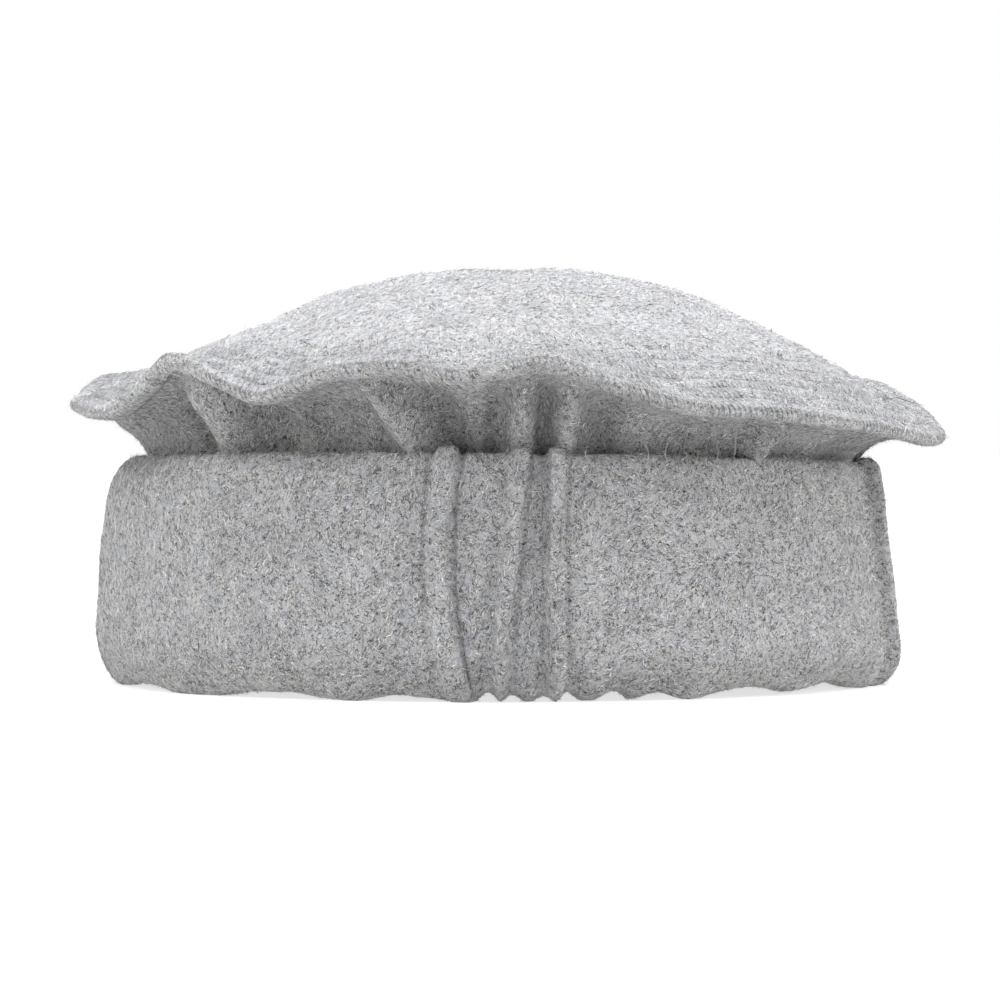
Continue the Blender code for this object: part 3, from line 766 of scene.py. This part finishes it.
# Greys as shares of the cloth's tone: the deepest and lightest ground, the painted shade in the stitched
# grooves, and dark and pale strands
DEEP, LIGHT, GROOVE_PAINTED_SHADE, DARK, PALE = 0.5, 1.45, 0.3, 0.11, 1.7
Strands = namedtuple("Strands", "size width length none_below all_above")
DARK_STRANDS = Strands(0.9, 0.055, 1.6, 0.4, 0.55)
PALE_STRANDS = Strands(0.75, 0.09, 1.3, 0.42, 0.6)
BRIM_FROM, BRIM_TO = 12, 40  # insets between which the brim's stitched look fades
ROPE_PITCH, ROPE_SLANT = 1.6, 1.5
FIBRE_DARK, FIBRE_GREY, FIBRE_PALE = 0.03, 0.33, 0.86


def felted_wool(name, tone, stitched):
    """Heather-grey felted wool. Fine curled strands, dark and pale, lie over a mottled ground, and the same
    strands make its bump. stitched adds the ropy ribs that the rows of stitching draw up along the rim, and
    painted shade that darkens the colour in the grooves along the rows."""
    wool = Finish(name, 0.95, 0.25)
    place = wool.place()
    broad = wool.noise(place, BROAD, roughness=0.55)
    patch = wool.noise(place, PATCHES, roughness=0.6, distortion=0.4)
    grain = wool.noise(place, GRAIN, roughness=0.7, distortion=0.4)
    dark = wool.strands(place, DARK_STRANDS)
    pale = wool.strands(place, PALE_STRANDS)

    contrast = GRAIN_CONTRAST
    if stitched:
        cloth = wool.add("ShaderNodeUVMap", {"uv_map": "cloth"}).outputs[0]
        parts = wool.add("ShaderNodeSeparateXYZ", None, {0: cloth})
        along, inset = Field(wool, parts.outputs[0]), Field(wool, parts.outputs[1])
        brim = 1 - inset.rise(BRIM_FROM, BRIM_TO)
        contrast = contrast + brim * 0.9
    shade = 0.5 + (broad - 0.5) * 0.42 + (patch - 0.5) * 0.08 + (grain - 0.5) * contrast
    tint = wool.tint(place)
    deep, light = (wool.tinted(tint, share * tone) for share in (DEEP, LIGHT))
    ground = wool.mixed(shade.rise(0.05, 0.95), deep, light)
    if stitched:
        # Painted shade: the colour is darkened along the rows of stitching, in the sunk grooves where shade
        # falls
        painted_groove_shade = ((inset - (FIRST_ROW - ROW_STEP / 4)) * (2 * np.pi / ROW_STEP)).sine().rise(0.6, 1.0) * brim
        ground = wool.mixed(painted_groove_shade * 0.55, ground, grey(GROOVE_PAINTED_SHADE * tone, 0.06))
    ground = wool.mixed(dark * 0.92, ground, grey(DARK * tone, 0.08))
    wool.feed(wool.shader, {"Base Color": wool.mixed(pale * 0.4, ground, grey(PALE * tone))})

    height = grain + patch * 0.2 + pale * 0.5 - dark * 0.5
    if stitched:
        rope = (along * (2 * np.pi / ROPE_PITCH) + inset * ROPE_SLANT + patch * 3.0).sine()
        height = height + rope * brim * broad.rise(0.35, 0.6) * 1.5
    wool.bump(height, 0.6 * MM, 0.95)
    return wool.material


def fibre_finish():
    """Wool fibres, from nearly white to nearly black by each fibre's own shade."""
    wool = Finish("wool_fibre", 0.8, 0.3)
    shade = Field(wool, wool.add("ShaderNodeAttribute", {"attribute_name": "shade"}).outputs["Fac"])
    tint = wool.tint(wool.place())
    darker = wool.mixed(shade.rise(0.0, 0.5), grey(FIBRE_DARK, 0.1), wool.tinted(tint, FIBRE_GREY))
    colour = wool.mixed(shade.rise(0.4, 1.0), darker, wool.tinted(tint, FIBRE_PALE))
    wool.feed(wool.shader, {"Base Color": colour})
    return wool.material


def thread_finish():
    """Sewing thread: two plies twisted, in a warm grey that varies along its length."""
    thread = Finish("sewing_thread", 0.7, 0.15)
    place = thread.place()
    ply = thread.noise(place, 0.5, 1.0, 0.5, 1.0)
    colour = thread.mixed(ply.rise(0.3, 0.7), grey(0.2, 0.08), grey(0.44, 0.04))
    thread.feed(thread.shader, {"Base Color": colour})
    thread.bump(ply, 0.1 * MM)
    return thread.material


# Fibres and stitches


def scattered(grid, count, rng, weight=None):
    """Random places on a grid of points, even over its area or in step with weight, a number for each row of
    cells, and the outward normal at each."""
    here, below = grid[:-1], grid[1:]
    beside = np.roll(grid, -1, axis=1)
    normal = np.cross(below - here, beside[:-1] - here)
    area = np.linalg.norm(normal, axis=-1)
    if weight is not None:
        area = area * weight[:, None]
    chosen = rng.choice(area.size, count, p=(area / area.sum()).ravel())
    row, col = np.unravel_index(chosen, area.shape)
    u, v = rng.random((2, count, 1))
    nearest = here[row, col] * (1 - u) + beside[:-1][row, col] * u
    further = below[row, col] * (1 - u) + beside[1:][row, col] * u
    return nearest * (1 - v) + further * v, unit(normal[row, col])


Nap = namedtuple("Nap", "length thick stand curl steps")
SHORT_NAP = Nap(1.5 * MM, 0.14 * MM, 0.4 * MM, 0.3, 2)
NAP_SLANT, NAP_WANDER = 135, 0.6  # degrees from straight down to the way it is brushed, and radians off it
NAP_SUNK, NAP_TILT, NAP_TAPER = 0.04 * MM, 0.5, 0.45
# The share of fine pale fibres, how much further they stand up, how thick they are, and their least shade
FINE_SHARE, FINE_STAND, FINE_THICK, FINE_SHADE = 0.2, 2.4, 0.5, 0.8
PALE_SHADE, GREY_SHADE, DARK_SHADE, SHADE_SPREAD = 0.78, 0.55, 0.04, 0.09


def give_shades(piece, shades, each):
    """Stores each fibre's shade at all of its points."""
    tone = piece.data.attributes.new("shade", "FLOAT", "POINT")
    tone.data.foreach_set("value", np.repeat(shades, each).astype(np.float32))


def fibres(name, places, normals, nap, shade, rng):
    """Curled tapering ribbons that lie over the cloth: each leaves its place along a random line, swings from
    side to side as a sine, and rises from the cloth as a power of its length."""
    count = len(places)
    swept = lumps(places, 24 * MM, 31)[:, None]
    angle = np.radians(NAP_SLANT) + swept + rng.normal(0, NAP_WANDER, (count, 1))
    side = unit(np.cross((1.0, 0.03, 0.05), normals))
    ahead = np.cos(angle) * side + np.sin(angle) * np.cross(normals, side)
    across = np.cross(normals, ahead)
    length = nap.length * rng.lognormal(0, 0.35, (count, 1, 1))
    s = np.linspace(0, 1, nap.steps + 1)[None, :, None]
    waves = rng.uniform(0.3, 1.1, (count, 1, 1)) * 2 * np.pi
    phase = rng.uniform(0, 2 * np.pi, (count, 1, 1))
    swing = nap.curl * rng.uniform(0.3, 1.0, (count, 1, 1)) * (np.sin(waves * s + phase) - np.sin(phase))
    fine = rng.random((count, 1, 1)) < FINE_SHARE
    stand = nap.stand * rng.lognormal(-0.4, 0.5, (count, 1, 1)) * s ** rng.uniform(0.6, 1.8, (count, 1, 1))
    stand = stand * np.where(fine, FINE_STAND, 1)
    line = places[:, None] + length * (s * ahead[:, None] + swing * across[:, None])
    line = line + normals[:, None] * (stand - NAP_SUNK)
    forward = unit(np.gradient(line, axis=1))
    tilt = rng.normal(0, NAP_TILT, (count, 1, 1))
    broad = unit(np.cross(forward, normals[:, None]) + tilt * normals[:, None])
    uneven_thick = rng.uniform(0.7, 1.3, (count, 1, 1)) * np.where(fine, FINE_THICK, 1)
    half = nap.thick / 2 * (1 - NAP_TAPER * s) * uneven_thick
    left, right = (line - half * broad)[:, :-1], (line + half * broad)[:, :-1]
    points = np.concatenate([left, right, line[:, -1:]], axis=1)
    points[..., 2] = np.maximum(points[..., 2], nap.thick / 2)

    steps, each = nap.steps, 2 * nap.steps + 1
    first = np.arange(count)[:, None, None] * each
    quad = np.arange(steps - 1)[:, None] + [0, steps, steps + 1, 1]
    tip = [steps - 1, 2 * steps - 1, 2 * steps]
    faces = [(first + quad).reshape(-1, 4), (first + tip).reshape(-1, 3)]
    piece = mesh_piece(name, points.reshape(-1, 3), faces)

    give_shades(piece, np.where(fine[:, 0, 0], np.maximum(shade, FINE_SHADE), shade), each)
    cells = int(np.ceil(np.sqrt(count)))
    corner = np.zeros((each, 2))
    corner[:steps, 1] = corner[steps:-1, 1] = np.arange(steps) / steps
    corner[steps:-1, 0] = 1
    corner[-1] = (0.5, 1)
    cell = np.stack([np.arange(count) % cells, np.arange(count) // cells], axis=-1)[:, None]
    at = ((cell + 0.1 + 0.8 * corner) / cells).reshape(-1, 2)
    layer = piece.data.uv_layers.new(name="OFBake")
    layer.uv.foreach_set("vector", at[np.concatenate([f.ravel() for f in faces])].astype(np.float32).ravel())
    return piece


def wool_shades(count, pale, dark, rng):
    """Shades for so many fibres, of which these shares are pale and dark, and the rest grey."""
    kind = rng.random(count)
    level = np.where(kind < pale, PALE_SHADE, np.where(kind < 1 - dark, GREY_SHADE, DARK_SHADE))
    return np.clip(level + rng.normal(0, SHADE_SPREAD, count), 0, 1)


def rods(name, rings):
    """Thin closed rods, one for each set of rings of points."""
    count, rows, sides = rings.shape[:3]
    ends = rings[:, [0, -1]].mean(axis=2)
    points = np.concatenate([rings.reshape(count, -1, 3), ends], axis=1)
    j = np.arange(sides)
    k = (j + 1) % sides
    row = np.arange(rows - 1)[:, None, None] * sides
    quads = (row + np.stack([j, k, k + sides, j + sides], axis=-1)).reshape(-1, 4)
    last, middle = sides * (rows - 1), sides * rows
    start_cap = np.stack([k, j, 0 * j + middle], axis=-1)
    end_cap = np.stack([last + j, last + k, 0 * j + middle + 1], axis=-1)
    caps = np.concatenate([start_cap, end_cap])
    first = np.arange(count)[:, None, None] * points.shape[1]
    faces = [(first + quads).reshape(-1, 4), (first + caps).reshape(-1, 3)]
    return mesh_piece(name, points.reshape(-1, 3), faces)


def hair_line(hair):
    """A loose hair's middle line. It sets out at an angle from the way round the cap, turns by its bend, and
    rises from the cloth towards its free end."""
    s = np.linspace(0, 1, HAIR_RINGS)
    angle = np.radians(hair.angle + hair.bend * s)[:-1]
    step = hair.length * MM / (HAIR_RINGS - 1)
    ahead = np.concatenate([[0], np.cumsum(np.cos(angle))]) * step
    inwards = np.concatenate([[0], np.cumsum(np.sin(angle))]) * step
    if hair.cloth == "top":
        reach = reach_of(hair.bearing)
        share = hair.place - inwards / reach
        bearing = hair.bearing + np.degrees(ahead / (share * reach))
        radius, height = crown_section(share, bearing)
        out, up = crown_slope(share, bearing)
    else:
        height = hair.place * BAND_HEIGHT + inwards
        bearing = hair.bearing + np.degrees(ahead / BAND_FOOT_RADIUS)
        radius = face_radius(bearing, height) + tuck_height(bearing)
        out, up = BAND_LEAN, -1.0
    rise = hair.stand * MM * s**1.3 + HAIR_LIFT
    return placed(radius - up * rise, height + out * rise, bearing)


def loose_hairs():
    """The table's loose hairs, as round tapering rods with each hair's own shade."""
    line = np.stack([hair_line(hair) for hair in HAIRS])
    forward = unit(np.gradient(line, axis=1))
    side = unit(np.cross((0.35, 0.2, 0.9), forward))
    up = np.cross(forward, side)
    a = np.linspace(0, 2 * np.pi, HAIR_SIDES, endpoint=False)[:, None]
    size = HAIR_THICK / 2 * (1 - HAIR_TAPER * np.linspace(0, 1, HAIR_RINGS))[None, :, None, None]
    rings = line[:, :, None] + size * (side[:, :, None] * np.cos(a) + up[:, :, None] * np.sin(a))
    piece = rods("loose_hairs", rings)
    give_shades(piece, [hair.shade for hair in HAIRS], len(piece.data.vertices) // len(HAIRS))
    return piece


def stitches():
    """Short round stitches in rows about the rim, each sunk in its row's channel and a little out of line."""
    rng = np.random.default_rng(11)
    centres, aheads, ups = [], [], []
    for row in STITCH_ROWS:
        count = int(2 * np.pi * (USUAL_REACH - row) * MM / STITCH_PITCH)
        bearing = (np.arange(count) + rng.uniform(-STITCH_JITTER, STITCH_JITTER, count)) * 360 / count
        inset = row * MM + rng.normal(0, STITCH_ASTRAY, count)
        sunk = CHANNEL_DEPTH + rng.uniform(-STITCH_PROUD, STITCH_SUNK, count)
        share, beside = 1 - inset / reach_of(bearing), bearing + 0.5
        here = in_crown(share, bearing, sunk)
        next_to = in_crown(share, beside, sunk)
        further = in_crown(share - 0.01, bearing, sunk)
        ahead = unit(next_to - here)
        centres.append(here)
        aheads.append(ahead)
        ups.append(unit(np.cross(ahead, further - here)))
    centres, aheads, ups = (np.concatenate(x)[:, None, None] for x in (centres, aheads, ups))
    along = np.array([-0.5, -0.36, 0.0, 0.36, 0.5])
    size = np.array([0.25, 0.85, 1.0, 0.85, 0.25])[None, :, None, None] * STITCH_THICK / 2
    a = np.linspace(0, 2 * np.pi, THREAD_SIDES, endpoint=False)[None, None, :, None]
    sides = np.cross(ups, aheads)
    arch = (STITCH_ARCH * (1 - (2 * along) ** 2))[None, :, None, None]
    rings = centres + aheads * along[None, :, None, None] * STITCH_LENGTH
    rings = rings + ups * (arch + size * np.sin(a)) + sides * size * np.cos(a)
    return rods("rim_stitching", rings)


def finished(piece, material):
    piece.data.materials.append(material)
    return piece


def dress():
    """Makes the cap's pieces and gives each its finish."""
    top, top_face = round_top()
    side, under, banded = rolled_side()
    # The round top's lighter tone holds painted light for the light from above
    finished(top, felted_wool("round_top_wool", TOP_TONE_WITH_PAINTED_LIGHT, True))
    finished(side, felted_wool("rolled_side_wool", SIDE_TONE, False))
    rim_stitching = finished(stitches(), thread_finish())
    fibre = fibre_finish()
    hairs = finished(loose_hairs(), fibre)

    rng = np.random.default_rng(23)
    shown_under = under[SPAN["edge"].start : SPAN["under"].stop]
    shown_band = banded[SPAN["foot"].start + 4 : SPAN["fold"].stop - 3]
    from_middle = np.linalg.norm(top_face[2:-1, :, :2], axis=-1).mean(axis=1)
    shorn = np.where(from_middle > STITCHED_FROM, STITCHED_NAP, 1)
    # Shares of pale and dark fibres for each nap: the top's has more pale ones, partly painted light for the
    # light that falls on it from above
    for name, slot, grid, count, weight, pale, dark in (
        ("top_nap", "felt_top", top_face[2:], 56000, shorn, 0.44, 0.24),
        ("band_nap", "felt_side", shown_band[::-1], 64000, None, 0.22, 0.54),
        ("underside_nap", "felt_side", shown_under, 42000, None, 0.34, 0.4),
    ):
        places, normals = scattered(grid, count, rng, weight)
        nap = fibres(name, places, normals, SHORT_NAP, wool_shades(count, pale, dark, rng), rng)
        finished(nap, fibre)


# The studio


# Soft lights: the strength, the degrees of the sky that each fills, the red in it, and the way towards it
LIGHTS = (
    ("soft_top_light", 4.9, 80, 0.91, (0.0, -0.25, 1.0)),
    ("soft_left_light", 2.35, 50, 1.0, (-0.97, -0.2, 0.3)),
    ("soft_right_light", 2.4, 50, 1.0, (0.97, -0.2, 0.3)),
)
ROOM_LIGHT, FLOOR_GLOW = 0.15, 0.7
FLOOR_RADIUS, FLOOR_TONES = 40, (0.37, 0.39)


def studio():
    """A wide pale floor under soft light from above and from both sides."""
    bpy.ops.mesh.primitive_circle_add(vertices=96, radius=FLOOR_RADIUS, fill_type="NGON", location=(0, 0, 0))
    floor = bpy.context.object
    floor.name = "floor"
    paper = Finish("pale_paper", 0.9, 0.0)
    tooth = paper.noise(paper.place(), 40, 2.0)
    paper.feed(paper.shader, {"Base Color": paper.mixed(tooth, *(grey(tone) for tone in FLOOR_TONES))})
    paper.feed(paper.shader, {"Emission Color": (1, 1, 1, 1), "Emission Strength": FLOOR_GLOW})
    floor.data.materials.append(paper.material)

    for name, strength, spread, red, towards in LIGHTS:
        light = bpy.data.lights.new(name, "SUN")
        light.energy = strength
        light.color = (red, 0.78 * red + 0.22, 1)
        light.angle = np.radians(spread)
        lamp = bpy.data.objects.new(name, light)
        lamp.rotation_euler = Vector(towards).to_track_quat("Z", "Y").to_euler()
        bpy.context.collection.objects.link(lamp)

    world = bpy.data.worlds.new("white_room")
    world.use_nodes = True
    tree = world.node_tree
    seen = tree.nodes["Background"]
    seen.inputs["Color"].default_value = (1, 1, 1, 1)
    seen.inputs["Strength"].default_value = 1.0
    lighting = tree.nodes.new("ShaderNodeBackground")
    lighting.inputs["Strength"].default_value = ROOM_LIGHT
    path = tree.nodes.new("ShaderNodeLightPath")
    choice = tree.nodes.new("ShaderNodeMixShader")
    tree.links.new(path.outputs["Is Camera Ray"], choice.inputs["Fac"])
    tree.links.new(lighting.outputs[0], choice.inputs[1])
    tree.links.new(seen.outputs[0], choice.inputs[2])
    tree.links.new(choice.outputs[0], tree.nodes["World Output"].inputs["Surface"])
    bpy.context.scene.world = world
    bpy.context.scene.view_settings.view_transform = "Standard"


CAMERA_AT, CAMERA_AIM = Vector((-2.16, -1210, 62.5)) * MM, Vector((-2.16, 0, 49)) * MM
LENS = 161.0


def camera():
    data = bpy.data.cameras.new("camera")
    data.sensor_width = 36
    data.lens = LENS
    data.clip_start, data.clip_end = 0.01, 100
    view = bpy.data.objects.new("camera", data)
    view.location = CAMERA_AT
    view.rotation_euler = (CAMERA_AIM - CAMERA_AT).to_track_quat("-Z", "Y").to_euler()
    bpy.context.collection.objects.link(view)
    bpy.context.scene.camera = view


camera()
dress()
studio()

bpy.context.view_layer.update()
